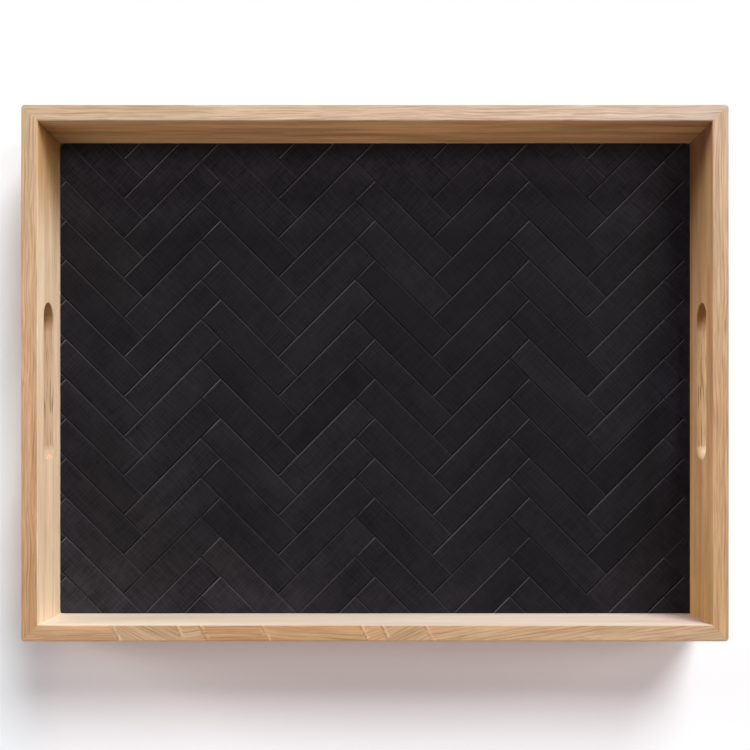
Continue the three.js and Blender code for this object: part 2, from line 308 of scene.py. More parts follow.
def rail_colours_and_painted_light(points, half, middle, wood_and_painted_light, slot_start):
    """Colour and figure of the wood at every point of a rail, and how much a point belongs to the rim. The
    rim, the inner face, the outer face and the slot each have a run of colours, blended across the eased
    edges; the inner face and slot runs hold painted light and shade as well as the wood's tone. The figure
    says how strongly the growth lines, the open pores and the broad bands show there."""
    along, depth = points[:, 0], points[:, 1]
    inside = np.clip(1 - 3 * depth / EDGE_EASE, 0, 1)
    outside = np.clip((depth - RAIL_DEPTH) / EDGE_EASE + 1, 0, 1)
    in_slot = np.clip(np.minimum(depth, RAIL_DEPTH - depth) / SLOT_ROUNDOVER, 0, 1)
    in_slot[:slot_start] = 0
    faces = {"rim": (1 - inside - outside) * (1 - in_slot), "inner": inside * (1 - in_slot),
             "outer": outside * (1 - in_slot), "slot": in_slot}
    figures = {"rim": (1.0, 0.4, 0.8), "inner": wood_and_painted_light["inner figure"], "outer": (0.9, 0.3, 0.8),
               "slot": (0.4, 1.3, 0.8)}
    plain = ("rim", "inner", "outer")
    # the inner runs carry painted light and shade as well as the wood's tone
    colour = sum(faces[face][:, None] * colour_run(along, half, wood_and_painted_light[face]) for face in plain)
    if "slot" in wood_and_painted_light:
        # painted shade at the slot's back end and, in the right end rail, painted light at its front end
        stops = middle + np.array([-1, -1, 1, 1]) * SLOT_STRAIGHT + np.array(wood_and_painted_light["slot shade"]) * MM
        first, ledge, last = wood_and_painted_light["slot"]
        run = [np.interp(along, stops, channel) for channel in zip(first, ledge, ledge, last)]
        colour += faces["slot"][:, None] * np.stack(run, axis=1)
    figure = sum(share[:, None] * np.array(figures[face]) for face, share in faces.items())
    round_end = np.clip((np.abs(along - middle) - SLOT_STRAIGHT) / PORE_FADE, 0, 1)
    figure[:, 1] *= 1 - 0.8 * faces["slot"] * round_end
    return {"wood_and_painted_light": colour, "figure": figure, "rim": faces["rim"]}


def rail_piece(node, half, inner_face, axis, out, slot_middle, wood_and_painted_light, seed, finish):
    """A rail: the swept section, its two mitre faces and, in an end rail, the handle slot, turned into place
    by the directions along and out of the tray."""
    local, inner_rows, outer_rows = rail_grid(half, slot_middle or 0)
    columns, rows = local.shape[:2]
    points = local.reshape(-1, 3)
    quads = outward(points, closed_rows(np.arange(columns * rows).reshape(columns, rows)))
    slot_start = len(points)
    if slot_middle is not None:
        ring, ring_quads, cut = slot_ring(local, slot_middle, inner_rows, outer_rows)
        points = np.concatenate([points, ring])
        quads = np.concatenate([quads[~cut], slot_facing(points, ring_quads)])
    caps = np.stack([np.arange(rows), (columns - 1) * rows + np.arange(rows)])
    fields = rail_colours_and_painted_light(points, half, slot_middle or 0, wood_and_painted_light, slot_start)
    fields["board"] = points + BOARD_JUMP * seed
    along, depth, level = points.T
    place = along[:, None] * np.array([*axis, 0]) + (inner_face + depth)[:, None] * np.array([*out, 0])
    place[:, 2] = level
    place, (quads, caps), fields = used_only(place, [quads, caps], fields)
    ends = cap_facing(place, caps, np.array([*axis, 0]))
    faces = quads.tolist() + ends
    return finished_piece("oak_" + node, place, faces, finish, [node], fields)


# Herringbone floor


def column_strips(column):
    """Lower corner, direction and rising side of every strip of a column. Seams stand one strip length times
    the cosine of 45 degrees apart, strips one width times the square root of two, and odd columns rise while
    even columns fall."""
    pitch, tooth = STRIP_WIDTH * math.sqrt(2), STRIP_WIDTH / math.sqrt(2)
    seam = column * STRIP_LENGTH / math.sqrt(2)
    rising = column % 2 == 1
    count = int(FLOOR_WIDTH / pitch) + 10
    tips = np.arange(-count, count + 1) * pitch - (STRIP_LENGTH / math.sqrt(2) if rising else 0)
    if rising:
        corner = np.stack([np.full_like(tips, seam), tips], axis=1)
        return corner, np.array([1, 1]) / math.sqrt(2), np.array([-1, 1]) / math.sqrt(2)
    corner = np.stack([np.full_like(tips, seam - tooth), tips + tooth], axis=1)
    return corner, np.array([1, -1]) / math.sqrt(2), np.array([1, 1]) / math.sqrt(2)


def strip_outlines(column):
    """Outlines of a column's strips, cut to the floor. A strip is where eight straight edges agree, its own
    four and the floor's four. Its corners are those crossings of two edges that lie on the inner side of all
    eight, in order round their middle. Moving the edges inwards moves the same crossings, which gives the
    bevel."""
    corner, ahead, aside = column_strips(column)
    normal = np.array([-ahead, ahead, -aside, aside, [1, 0], [-1, 0], [0, 1], [0, -1]])
    own_reach = np.stack([-corner @ ahead, corner @ ahead + STRIP_LENGTH,
                          -corner @ aside, corner @ aside + STRIP_WIDTH], axis=1)
    floor_reach = np.array([FLOOR_LENGTH, FLOOR_LENGTH, FLOOR_WIDTH, FLOOR_WIDTH]) / 2
    reach = np.concatenate([own_reach, np.tile(floor_reach, (len(corner), 1))], axis=1)
    i, j = np.triu_indices(8, 1)
    cross = normal[i, 0] * normal[j, 1] - normal[i, 1] * normal[j, 0]
    meet = np.abs(cross) > TINY
    i, j, cross = i[meet], j[meet], cross[meet]
    own = np.array([1, 1, 1, 1, 0, 0, 0, 0])

    def crossings(inset):
        edge = reach - inset * own
        x = (edge[:, i] * normal[j, 1] - edge[:, j] * normal[i, 1]) / cross
        y = (edge[:, j] * normal[i, 0] - edge[:, i] * normal[j, 0]) / cross
        return np.stack([x, y], axis=2), edge

    base, edge = crossings(HALF_JOINT)
    valid = (base @ normal.T <= edge[:, None, :] + TINY).all(axis=2)
    made = []
    for strip in np.flatnonzero(valid.sum(axis=1) >= 3):
        pick = np.flatnonzero(valid[strip])
        spoke = base[strip, pick] - base[strip, pick].mean(axis=0)
        pick = pick[np.argsort(np.arctan2(spoke[:, 1], spoke[:, 0]))]
        outline = base[strip, pick]
        side = np.linalg.norm(np.roll(outline, -1, axis=0) - outline, axis=1).min()
        area = np.cross(outline, np.roll(outline, -1, axis=0)).sum() / 2
        if area < LEAST_AREA or side < LEAST_SIDE:
            continue
        width = min(BEVEL_WIDTH, 0.3 * side)
        made.append({
            "outline": outline,
            "rings": [crossings(HALF_JOINT + far * width)[0][strip, pick] for far, _ in BEVEL_RINGS],
            "fall": BEVEL_FALL * width / BEVEL_WIDTH,
            "centre": corner[strip] + ahead * STRIP_LENGTH / 2 + aside * STRIP_WIDTH / 2,
            "ahead": ahead,
            "aside": aside,
        })
    return made


def strip_shell(strip, start, seed, highlight_strength, front_shade):
    """One strip as a closed shell, its points numbered from a start: its outline at the foot and at the foot
    of the bevel, two rings moved inwards to the top, and a flat top and underside. Corners on a bevel carry
    painted light and shade: above nothing, a painted highlight on edges that look to the back of the tray,
    its strength varying from strip to strip, and below it, painted shade on those that look to the front.
    Over the top a painted shade falls evenly from nothing at the back to a little dark at the front."""
    outline = strip["outline"]
    count = len(outline)
    ring_levels = [STRIP_TOP - below * strip["fall"] for _, below in BEVEL_RINGS]
    levels = [STRIP_FOOT, STRIP_TOP - strip["fall"], *ring_levels]
    plan = np.concatenate([outline, outline, *strip["rings"]])
    points = np.column_stack([plan, np.repeat(levels, count)])
    number = start + np.arange(4 * count).reshape(4, count)
    after = np.roll(number, -1, axis=1)
    walls = np.stack([number[:-1], after[:-1], after[1:], number[1:]], axis=2)
    run = np.roll(outline, -1, axis=0) - outline
    looks = np.stack([run[:, 1], -run[:, 0]], axis=1) / np.linalg.norm(run, axis=1, keepdims=True)
    # painted highlight on bevel edges that look to the back, painted shade on those that look to the front
    toward_back = looks @ PAINTED_HIGHLIGHT_SIDE
    painted_edge_light_and_shade = np.where(toward_back > 0, toward_back * highlight_strength, 0.8 * toward_back)
    edge = np.zeros((3, count, 4))
    edge[1] = painted_edge_light_and_shade[:, None] * np.array([0.9, 0.9, 1, 1])
    edge[2] = painted_edge_light_and_shade[:, None] * np.array([1, 1, 0.3, 0.3])
    offset = plan - strip["centre"]
    board = np.column_stack([offset @ strip["ahead"] + STRIP_JUMP[0] * seed, offset @ strip["aside"],
                             np.full(len(plan), STRIP_JUMP[1] * seed)])
    faces = walls.reshape(-1, 4).tolist() + [number[0, ::-1].tolist(), number[-1].tolist()]
    # painted shade over the top, darker towards the strip's front
    to_front = np.clip(0.5 - offset[-count:] @ strip["aside"] / STRIP_WIDTH, 0, 1)
    corners = np.concatenate([edge.reshape(-1), np.zeros(count), -front_shade * to_front])
    return points, faces, corners, board


def strip_tone_and_painted_light(points, luck):
    """How light each point of a strip is: a smooth surface over the floor, of powers of the place along and
    across it, lighter towards the rails and darkest in the middle, which is painted light against the shade
    near the rails, plus the strip's luck, its own random tone."""
    x, y = points[:, 0] / FLOOR_LENGTH, points[:, 1] / FLOOR_WIDTH
    # painted light: lighter towards the rails, where they shade the floor
    spread = 0.14 - 0.27 * x - 0.05 * y + 0.32 * x**2 + 1.0 * x * y + 1.1 * y**2
    return np.clip(spread + luck, 0, 1)


def herringbone_piece(node, columns, finish, chance):
    """Strips of a column, and of the cut corners beside it, each a closed shell with its own tone, painted
    light and shade, and figure."""
    points, faces, painted_edge_light_and_shade, board, tone_and_painted_light = [], [], [], [], []
    start = 0
    for column in columns:
        for strip in strip_outlines(column):
            seed = chance.integers(1, 400)
            highlight_strength = chance.uniform(*HIGHLIGHT_STRENGTH)
            front_shade = chance.uniform(*FRONT_SHADE)
            luck = chance.uniform(*LUCK)
            shell, shell_faces, shell_edge_paint, shell_board = strip_shell(strip, start, seed, highlight_strength, front_shade)
            points.append(shell)
            faces += shell_faces
            painted_edge_light_and_shade.append(shell_edge_paint)
            board.append(shell_board)
            tone_and_painted_light.append(strip_tone_and_painted_light(shell, luck))
            start += len(shell)
    fields = {"board": np.concatenate(board), "tone_and_painted_light": np.concatenate(tone_and_painted_light)}
    return finished_piece(
        node.replace("herringbone", "strips"), np.concatenate(points), faces, finish, [node],
        fields, {"painted_edge_light_and_shade": np.concatenate(painted_edge_light_and_shade)}, crease=60)


# Felt pads


def felt_pad(node, finish):
    """A pad turned about its upright middle line: from the middle out along the foot, round a quarter circle,
    up the side and back to the middle. The side is drawn in a little halfway up, by half a sine wave."""
    low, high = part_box(node)
    middle = (np.array(low) + np.array(high)) / 2
    foot = np.linspace(0, PAD_RADIUS - PAD_EDGE, 6)[:-1]
    edge = quarter((PAD_RADIUS - PAD_EDGE, PAD_EDGE), PAD_EDGE, -90, 0)
    rise = np.linspace(PAD_EDGE, PAD_TOP, 6)[1:]
    top = np.linspace(PAD_RADIUS, 0, 5)[1:]
    belly = PAD_BELLY * np.sin(np.pi * (rise - PAD_EDGE) / (PAD_TOP - PAD_EDGE))
    reach = np.concatenate([foot, edge[:, 0], PAD_RADIUS - belly, top])
    level = np.concatenate([np.zeros_like(foot), edge[:, 1], rise, np.full_like(top, PAD_TOP)])
    turn = np.linspace(0, 2 * np.pi, 72, endpoint=False)
    ring_reach, ring_level = reach[1:-1], level[1:-1]
    x = middle[0] + ring_reach[:, None] * np.cos(turn)
    y = middle[1] + ring_reach[:, None] * np.sin(turn)
    z = np.repeat(ring_level[:, None], len(turn), axis=1)
    rings = np.stack([x, y, z], axis=2).reshape(-1, 3)
    poles = np.array([[middle[0], middle[1], 0], [middle[0], middle[1], PAD_TOP]])
    points = np.concatenate([rings, poles])
    number = np.arange(len(ring_reach) * len(turn)).reshape(len(ring_reach), len(turn))
    after = np.roll(number, -1, axis=1)
    pole = np.full(len(turn), len(rings))
    fans = np.stack([[pole, after[0], number[0]], [pole + 1, number[-1], after[-1]]])
    fans = fans.transpose(0, 2, 1).reshape(-1, 3)
    faces = closed_rows(number)[:, ::-1].tolist() + fans.tolist()
    return finished_piece(node.replace("felt", "wool"), points, faces, finish, [node])


# Finishes


def add(tree, kind, inputs=None, **settings):
    """Adds a node, sets its options, and fills each named input from a socket or a plain value."""
    made = tree.nodes.new(kind)
    for key, value in settings.items():
        setattr(made, key, value)
    for key, value in (inputs or {}).items():
        if isinstance(value, bpy.types.NodeSocket):
            tree.links.new(value, made.inputs[key])
        else:
            made.inputs[key].default_value = value
    return made


def sums(tree, operation, first, *others, clamp=False):
    """Arithmetic on two or more values, one after the other."""
    for other in others:
        step = add(tree, "ShaderNodeMath", {0: first, 1: other}, operation=operation, use_clamp=clamp)
        first = step.outputs[0]
    return first


def vectors(tree, operation, first, second):
    """One step of arithmetic on two vectors."""
    return add(tree, "ShaderNodeVectorMath", {0: first, 1: second}, operation=operation).outputs[0]


def parts_of(tree, vector):
    """The three parts of a vector."""
    return add(tree, "ShaderNodeSeparateXYZ", {0: vector}).outputs


def carried(tree, name, output="Vector"):
    """What a piece carries at its points or corners under a name."""
    return add(tree, "ShaderNodeAttribute", attribute_name=name).outputs[output]


def own_place(tree):
    """A point's place in the object's own frame."""
    return add(tree, "ShaderNodeTexCoord").outputs["Object"]


def blended(tree, share, first, second, way="MIX", held=True):
    """Two colours blended by a share, which is held between nothing and one unless told otherwise."""
    made = add(tree, "ShaderNodeMix", {0: share, 6: first, 7: second}, data_type="RGBA", blend_type=way,
               clamp_factor=held)
    return made.outputs[2]


def tinted(tree, colour, tint):
    """A colour times a tint."""
    return blended(tree, 1.0, colour, tint, "MULTIPLY")


def ranged(tree, value, low, high, to_low=0.0, to_high=1.0):
    """A value carried from one range to another and held inside it."""
    return add(tree, "ShaderNodeMapRange", {0: value, 1: low, 2: high, 3: to_low, 4: to_high}).outputs[0]


def noise(tree, vector, detail=2.0, roughness=0.5):
    """A cloud of values from about 0.3 to 0.7 over a vector that already has its scale."""
    inputs = {"Vector": vector, "Scale": 1.0, "Detail": detail, "Roughness": roughness}
    return add(tree, "ShaderNodeTexNoise", inputs).outputs["Fac"]


def scaled(tree, vector, along, across):
    """A board's place times one number along the board and another across it."""
    by = add(tree, "ShaderNodeCombineXYZ", {0: along, 1: across, 2: across}).outputs[0]
    return vectors(tree, "MULTIPLY", vector, by)


def wood_grain():
    """Node group for sawn wood. Its Board input runs along, across and up a board, and wanders sideways by a
    slow noise. Ring is the growth lines: the rest after whole numbers of a distance across the board plus a
    cloud, which climbs slowly and drops at once, faded in and out along the board. Fibre is a noise drawn out
    along the board by Stretch, Band a broad one, and Pore a mask of short dashes where a finer noise is
    high."""
    group = bpy.data.node_groups.new("wood grain", "ShaderNodeTree")
    face = group.interface
    face.new_socket("Board", in_out="INPUT", socket_type="NodeSocketVector")
    for name, value in (("Lines per metre", 500.0), ("Stretch", 20.0), ("Wander", 0.002)):
        face.new_socket(name, in_out="INPUT", socket_type="NodeSocketFloat").default_value = value
    for name in ("Ring", "Fibre", "Band", "Pore"):
        face.new_socket(name, in_out="OUTPUT", socket_type="NodeSocketFloat")
    taken = add(group, "NodeGroupInput").outputs
    given = add(group, "NodeGroupOutput")
    lines = taken["Lines per metre"]
    drawn = sums(group, "DIVIDE", lines, taken["Stretch"])

    slow = scaled(group, taken["Board"], 8.0, 26.0)
    drift = add(group, "ShaderNodeTexNoise", {"Vector": slow, "Scale": 1.0, "Detail": 2.0}).outputs["Color"]
    drift = vectors(group, "SUBTRACT", drift, (0.5, 0.5, 0.5))
    sideways = add(group, "ShaderNodeCombineXYZ", {1: taken["Wander"], 2: taken["Wander"]}).outputs[0]
    board = vectors(group, "ADD", taken["Board"], vectors(group, "MULTIPLY", drift, sideways))

    axis = add(group, "ShaderNodeVectorMath", {0: board, 1: (0.0, 0.80, 0.60)}, operation="DOT_PRODUCT")
    distance = sums(group, "MULTIPLY", axis.outputs["Value"], sums(group, "MULTIPLY", lines, 0.9))
    cloud = noise(group, scaled(group, board, 10.0, 60.0))
    climb = sums(group, "ADD", distance, sums(group, "MULTIPLY", cloud, 2.5))
    part = add(group, "ShaderNodeMath", {0: climb}, operation="FRACT").outputs[0]
    ring = sums(group, "SUBTRACT", ranged(group, part, 0.40, 0.88), ranged(group, part, 0.90, 1.0))
    long = scaled(group, board, sums(group, "MULTIPLY", drawn, 0.8), sums(group, "MULTIPLY", lines, 0.3))
    ring = sums(group, "MULTIPLY", ring, ranged(group, noise(group, long), 0.40, 0.60))
    group.links.new(ring, given.inputs["Ring"])

    fine = scaled(group, board, drawn, sums(group, "MULTIPLY", lines, 1.5))
    group.links.new(noise(group, fine, detail=4.0, roughness=0.62), given.inputs["Fibre"])
    broad = scaled(group, board, sums(group, "DIVIDE", drawn, 4.0), sums(group, "DIVIDE", lines, 7.0))
    group.links.new(noise(group, broad), given.inputs["Band"])
    dashes = scaled(group, board, sums(group, "MULTIPLY", drawn, 1.5), sums(group, "MULTIPLY", lines, 1.7))
    group.links.new(ranged(group, noise(group, dashes, detail=1.0), 0.56, 0.66), given.inputs["Pore"])
    return group


def new_finish(name):
    """An empty material with its surface shader. Gives the material, its nodes and the shader."""
    material = bpy.data.materials.new(name)
    material.use_nodes = True
    tree = material.node_tree
    return material, tree, tree.nodes["Principled BSDF"]


def grained(tree, group, board, lines, stretch, wander):
    """Places the wood grain in a material with its own values."""
    made = add(tree, "ShaderNodeGroup", node_tree=group)
    tree.links.new(board, made.inputs["Board"])
    made.inputs["Lines per metre"].default_value = lines
    made.inputs["Stretch"].default_value = stretch
    made.inputs["Wander"].default_value = wander
    return [made.outputs[name] for name in ("Ring", "Fibre", "Band", "Pore")]


def bumped(tree, shader, height, strength, distance):
    """Feeds a height to the shader's normal."""
    bump = add(tree, "ShaderNodeBump", {"Strength": strength, "Distance": distance, "Height": height})
    tree.links.new(bump.outputs[0], shader.inputs["Normal"])


def glued_lengths(tree, board, rim, joints):
    """A rim that is glued up from short lengths: each length's tint, the board turned to each length's own
    grain, and a dark and a light stroke at every joint. A joint is a slanted line: the place along the rail
    plus a share of the depth and a small wave. The strokes are broken up by a noise."""
    along, depth, level = parts_of(tree, board)
    wave = sums(tree, "MULTIPLY", noise(tree, scaled(tree, board, 150.0, 420.0)), JOINT_WAVE)
    slanted = sums(tree, "ADD", along, sums(tree, "MULTIPLY", depth, JOINT_SLANT), wave)
    start, end, shift = joints["start"], joints["end"], joints["slant shift"]
    ramp = add(tree, "ShaderNodeValToRGB", {0: ranged(tree, slanted, start + shift, end + shift)})
    stops = ramp.color_ramp.elements
    ramp.color_ramp.interpolation = "CONSTANT"
    stops.remove(stops[1])
    for place, tint, slant in joints["lengths"]:
        share = (place - start) / (end - start)
        stop = stops[0] if share <= 0 else stops.new(share)
        stop.color = (*tint, 0.5 + slant / 2)
    tint = blended(tree, rim, (1, 1, 1, 1), ramp.outputs[0])
    slant = sums(tree, "MULTIPLY", ranged(tree, ramp.outputs[1], 0.0, 1.0, -1.0, 1.0), rim)
    depth = sums(tree, "ADD", depth, sums(tree, "MULTIPLY", slant, along))
    turned = add(tree, "ShaderNodeCombineXYZ", {0: along, 1: depth, 2: level}).outputs[0]
    broken = ranged(tree, noise(tree, scaled(tree, board, 210.0, 260.0)), 0.38, 0.58)
    broken = sums(tree, "MULTIPLY", broken, rim)
    dark, light = 0.0, 0.0
    for place, _, _ in joints["lengths"][1:]:
        off = sums(tree, "SUBTRACT", slanted, place + shift)
        on_joint = sums(tree, "ABSOLUTE", off, 0.0)
        beside = sums(tree, "ABSOLUTE", sums(tree, "ADD", off, 1.6 * MM), 0.0)
        dark = sums(tree, "ADD", dark, ranged(tree, on_joint, 0.2 * MM, 1.1 * MM, 0.75, 0.0))
        light = sums(tree, "ADD", light, ranged(tree, beside, 0.4 * MM, 1.6 * MM, 0.8, 0.0))
    return tint, turned, sums(tree, "MULTIPLY", dark, broken), sums(tree, "MULTIPLY", light, broken)


def oiled_oak(group, name, joints=None):
    """Light oak under a matt oil: the rail's colour, which holds painted light and shade on the inner faces
    and in the slots, and darker, redder growth lines, fibres and open pores, and broad bands that lean to
    yellow or to red."""
    material, tree, shader = new_finish(name)
    board = carried(tree, "board")
    wood_and_painted_light = carried(tree, "wood_and_painted_light")
    lines_show, pores_show, bands_show = parts_of(tree, carried(tree, "figure"))
    if joints:
        tint, board, dark_joint, light_joint = glued_lengths(tree, board, carried(tree, "rim", "Fac"), joints)
        wood_and_painted_light = tinted(tree, wood_and_painted_light, tint)
    ring, fibre, band, pore = grained(tree, group, board, lines=640.0, stretch=30.0, wander=0.011)
    hue = ranged(tree, noise(tree, scaled(tree, board, 8.0, 120.0)), 0.35, 0.65)
    lean = blended(tree, hue, (1.07, 0.96, 0.95, 1), (0.95, 1.03, 0.98, 1))
    leaning = sums(tree, "MULTIPLY", bands_show, 0.5, clamp=True)
    wood_and_painted_light = blended(tree, leaning, wood_and_painted_light, tinted(tree, wood_and_painted_light, lean))
    lines = sums(tree, "MULTIPLY", ring, lines_show)
    fibres = sums(tree, "MULTIPLY", ranged(tree, fibre, 0.34, 0.66, -0.27, 0.27), lines_show)
    bands = sums(tree, "MULTIPLY", ranged(tree, band, 0.3, 0.7, -0.28, 0.28), bands_show)
    soft = sums(tree, "ADD", fibres, bands, 0.34)
    share = sums(tree, "ADD", sums(tree, "MULTIPLY", lines, 0.48), soft, clamp=True)
    bright = tinted(tree, wood_and_painted_light, (1.19, 1.23, 1.29, 1))
    deep = tinted(tree, wood_and_painted_light, (0.68, 0.59, 0.49, 1))
    colour = blended(tree, share, bright, deep)
    hollow = sums(tree, "MULTIPLY", pore, pores_show, 0.75)
    colour = blended(tree, hollow, colour, tinted(tree, wood_and_painted_light, (0.48, 0.38, 0.30, 1)))
    if joints:
        colour = blended(tree, light_joint, colour, tinted(tree, wood_and_painted_light, (1.30, 1.38, 1.50, 1)))
        colour = blended(tree, dark_joint, colour, tinted(tree, wood_and_painted_light, (0.58, 0.50, 0.42, 1)))
    tree.links.new(colour, shader.inputs["Base Color"])
    tree.links.new(ranged(tree, fibre, 0.3, 0.7, 0.50, 0.64), shader.inputs["Roughness"])
    shader.inputs["Specular IOR Level"].default_value = 0.3
    height = sums(tree, "SUBTRACT", fibre, hollow, sums(tree, "MULTIPLY", lines, 0.25))
    bumped(tree, shader, height, strength=0.25, distance=0.2 * MM)
    return material


def painted_light_places(tree):
    """Where painted light goes on the floor: a share beside the back rail, less at the very edge, and a share
    beside the right end rail, which lighten the floor where those rails shade it; how much cooler that
    painted light is beside each rail; and what the painted edge highlights gain to the left, where they are
    lighter at the back and darker at the front."""
    along, across, _ = parts_of(tree, own_place(tree))
    end, back = FLOOR_LENGTH / 2, FLOOR_WIDTH / 2
    by_back = ranged(tree, across, back - 67.6 * MM, back - 19.6 * MM)
    at_edge = ranged(tree, across, back - 12.6 * MM, back - 1.6 * MM, 1.0, 0.5)
    by_back = sums(tree, "MULTIPLY", by_back, at_edge)
    by_right = ranged(tree, along, end - 28.6 * MM, end - 3.6 * MM)
    by_left = ranged(tree, along, 34.6 * MM - end, 2.6 * MM - end, 0.0, 0.25)
    by_front = ranged(tree, across, 37.6 * MM - back, 3.6 * MM - back, 0.0, 0.2)
    cool_painted_light = sums(tree, "MAXIMUM", sums(tree, "MULTIPLY", by_back, 0.5), by_right, by_left, by_front)
    to_left = ranged(tree, along, 50 * MM, -200 * MM)
    edge_highlight_gain = sums(tree, "MULTIPLY", to_left, ranged(tree, across, -120 * MM, 80 * MM, -0.35, 0.45))
    return by_back, by_right, cool_painted_light, edge_highlight_gain


def black_stained(group):
    """Black stained wood: each strip its own tone, soft clouds, fine saw lines across it and fainter fibres
    along it, a painted highlight on bevel edges that look to the back and painted shade on those that look
    to the front. Beside the rails, most of all beside the back rail and the right end rail, the floor is
    painted lighter and cooler, painted light that offsets the shade the rails cast on it."""
    material, tree, shader = new_finish("black stained strips")
    board = carried(tree, "board")
    painted_edge_light_and_shade = carried(tree, "painted_edge_light_and_shade", "Fac")
    by_back, by_right, cool_painted_light, edge_highlight_gain = painted_light_places(tree)
    _, fibre, _, pore = grained(tree, group, board, lines=900.0, stretch=22.0, wander=0.0012)
    saw = noise(tree, scaled(tree, board, 1350.0, 75.0), roughness=0.55)
    cloud = noise(tree, scaled(tree, board, 42.0, 60.0))
    hatch = ranged(tree, saw, 0.36, 0.64, -0.24, 0.24)
    clouds = ranged(tree, cloud, 0.3, 0.7, -0.20, 0.20)
    lights = sums(tree, "ADD", hatch, clouds, ranged(tree, fibre, 0.36, 0.64, 0.76, 1.24))
    lights = sums(tree, "MAXIMUM", lights, 0.15)
    # painted light: lighter beside the back rail and the right end rail, where they shade the floor
    tone_and_painted_light = sums(tree, "ADD", carried(tree, "tone_and_painted_light", "Fac"), sums(tree, "MULTIPLY", by_back, 1.5),
                sums(tree, "MULTIPLY", by_right, 0.8))
    stain_and_painted_light = blended(tree, tone_and_painted_light, (0.0080, 0.0072, 0.0081, 1), (0.0244, 0.0220, 0.0245, 1), held=False)
    # painted light: a cool tint beside the rails
    stain_and_painted_light = blended(tree, cool_painted_light, stain_and_painted_light, tinted(tree, stain_and_painted_light, (1.0, 1.12, 1.5, 1)))
    colour = tinted(tree, stain_and_painted_light, lights)
    patchy = ranged(tree, cloud, 0.35, 0.65, 0.65, 1.0)
    # painted highlight on bevel edges that look to the back
    painted_highlight = sums(tree, "MULTIPLY", ranged(tree, painted_edge_light_and_shade, 0.0, 1.0), patchy)
    highlight_level = sums(tree, "ADD", tone_and_painted_light, edge_highlight_gain, sums(tree, "MULTIPLY", by_back, 0.6))
    highlight_colour = blended(tree, highlight_level, (0.042, 0.039, 0.042, 1), (0.118, 0.110, 0.120, 1), held=False)
    colour = blended(tree, painted_highlight, colour, highlight_colour)
    # painted shade on edges that look to the front and over each strip's front
    painted_edge_shade = ranged(tree, painted_edge_light_and_shade, 0.0, -1.0, 0.0, 0.7)
    colour = blended(tree, painted_edge_shade, colour, (0.0010, 0.0008, 0.0010, 1))
    tree.links.new(colour, shader.inputs["Base Color"])
    tree.links.new(ranged(tree, cloud, 0.3, 0.7, 0.52, 0.66), shader.inputs["Roughness"])
    shader.inputs["Specular IOR Level"].default_value = 0.06
    shader.inputs["Specular Tint"].default_value = (0.94, 0.86, 1, 1)
    height = sums(tree, "SUBTRACT", sums(tree, "ADD", saw, fibre), pore)
    bumped(tree, shader, height, strength=0.25, distance=0.2 * MM)
    return material


def plain_wood(group, name, light, dark, lines, stretch, turn, up_colour=None):
    """Bare wood for the panel and the tongues, with its grain along the object's X, Y or Z by a turn. Where a
    colour for faces that look up is given, they carry it."""
    material, tree, shader = new_finish(name)
    board = add(tree, "ShaderNodeMapping", {"Vector": own_place(tree), "Rotation": turn}).outputs[0]
    ring, fibre, band, pore = grained(tree, group, board, lines, stretch, wander=0.02)
    soft = sums(tree, "ADD", ranged(tree, fibre, 0.3, 0.7, 0.0, 0.4), ranged(tree, band, 0.3, 0.7, 0.0, 0.4))
    share = sums(tree, "ADD", soft, sums(tree, "MULTIPLY", ring, 0.3), clamp=True)
    colour = blended(tree, share, light, dark)
    colour = blended(tree, sums(tree, "MULTIPLY", pore, 0.3), colour, dark)
    if up_colour:
        up = parts_of(tree, add(tree, "ShaderNodeNewGeometry").outputs["Normal"])[2]
        colour = blended(tree, ranged(tree, up, 0.4, 0.6), colour, up_colour)
    tree.links.new(colour, shader.inputs["Base Color"])
    tree.links.new(ranged(tree, fibre, 0.3, 0.7, 0.55, 0.7), shader.inputs["Roughness"])
    bumped(tree, shader, fibre, strength=0.2, distance=0.2 * MM)
    return material


def pressed_felt():
    """Pressed wool felt: a fine twisted noise for the fibres, a coarser one for the tufts, and a soft nap."""
    material, tree, shader = new_finish("pressed felt")
    place = own_place(tree)
    fine = {"Vector": place, "Scale": 2400.0, "Detail": 3.0, "Distortion": 1.5}
    tangle = add(tree, "ShaderNodeTexNoise", fine).outputs["Fac"]
    tufts = add(tree, "ShaderNodeTexNoise", {"Vector": place, "Scale": 420.0, "Detail": 2.0}).outputs["Fac"]
    tangled = ranged(tree, tangle, 0.3, 0.7, 0.0, 0.6)
    mixed = sums(tree, "ADD", tangled, ranged(tree, tufts, 0.3, 0.7, 0.0, 0.4))
    wool = blended(tree, mixed, (0.028, 0.026, 0.024, 1), (0.075, 0.070, 0.065, 1))
    tree.links.new(wool, shader.inputs["Base Color"])
    tree.links.new(ranged(tree, mixed, 0.0, 1.0, 0.85, 1.0), shader.inputs["Roughness"])
    shader.inputs["Specular IOR Level"].default_value = 0.1
    shader.inputs["Sheen Weight"].default_value = 0.25
    bumped(tree, shader, mixed, strength=0.7, distance=0.3 * MM)
    return material


# Studio


def seen_rays(tree):
    """One for rays from the camera, a gloss or a glass, and nothing for the rest."""
    path = add(tree, "ShaderNodeLightPath").outputs
    return sums(tree, "MAXIMUM", path["Is Camera Ray"], path["Is Glossy Ray"], path["Is Transmission Ray"])


